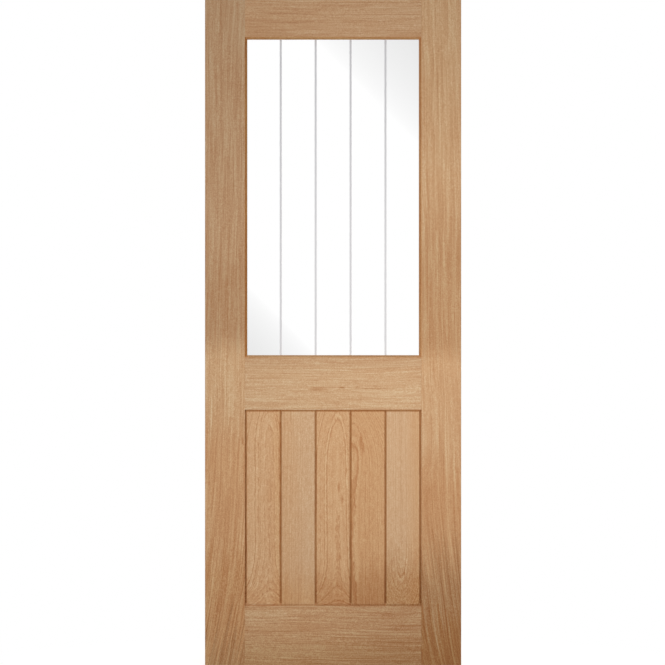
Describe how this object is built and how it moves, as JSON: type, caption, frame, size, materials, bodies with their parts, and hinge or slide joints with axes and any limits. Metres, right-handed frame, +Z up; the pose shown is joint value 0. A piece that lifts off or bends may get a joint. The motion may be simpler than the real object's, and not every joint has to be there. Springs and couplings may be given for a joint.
{
  "type": "half-glazed interior door leaf",
  "caption": "Flat oak interior door leaf: stile and rail frame, tall glazed upper light with etched vertical lines, V-jointed vertical boards below. Hangs on hinges at its edge.",
  "frame": {"origin": "on the hinge edge's outer face, at mid thickness, level with the leaf's bottom edge", "axes": "+X across the leaf from the hinge edge to the latch edge, +Y from the front face to the back face, +Z up"},
  "size_m": [0.762, 0.035, 1.981],
  "materials": {
    "frame_oak": "fine sanded oak, unfinished",
    "lipping_oak": "fine sanded oak, unfinished",
    "board_oak": "fine sanded oak, unfinished",
    "bead_oak": "fine sanded oak, unfinished",
    "dowel_beech": "turned beech",
    "clear_glass": "clear toughened glass with etched lines",
    "glazing_tape": "white foam tape"
  },
  "bodies": {
    "root": {"hinge_stile": "frame_oak", "latch_stile": "frame_oak", "hinge_edge_lipping": "lipping_oak", "latch_edge_lipping": "lipping_oak", "top_rail": "frame_oak", "mid_rail": "frame_oak", "bottom_rail": "frame_oak", "top_rail_hinge_dowels": "dowel_beech", "top_rail_latch_dowels": "dowel_beech", "mid_rail_hinge_dowels": "dowel_beech", "mid_rail_latch_dowels": "dowel_beech", "bottom_rail_hinge_dowels": "dowel_beech", "bottom_rail_latch_dowels": "dowel_beech", "panel_board_1": "board_oak", "panel_board_2": "board_oak", "panel_board_3": "board_oak", "panel_board_4": "board_oak", "panel_board_5": "board_oak", "glass_pane": "clear_glass", "front_glazing_tape": "glazing_tape", "back_glazing_tape": "glazing_tape", "front_bead_top": "bead_oak", "front_bead_bottom": "bead_oak", "front_bead_hinge": "bead_oak", "front_bead_latch": "bead_oak", "back_bead_top": "bead_oak", "back_bead_bottom": "bead_oak", "back_bead_hinge": "bead_oak", "back_bead_latch": "bead_oak"}
  },
  "joints": []
}
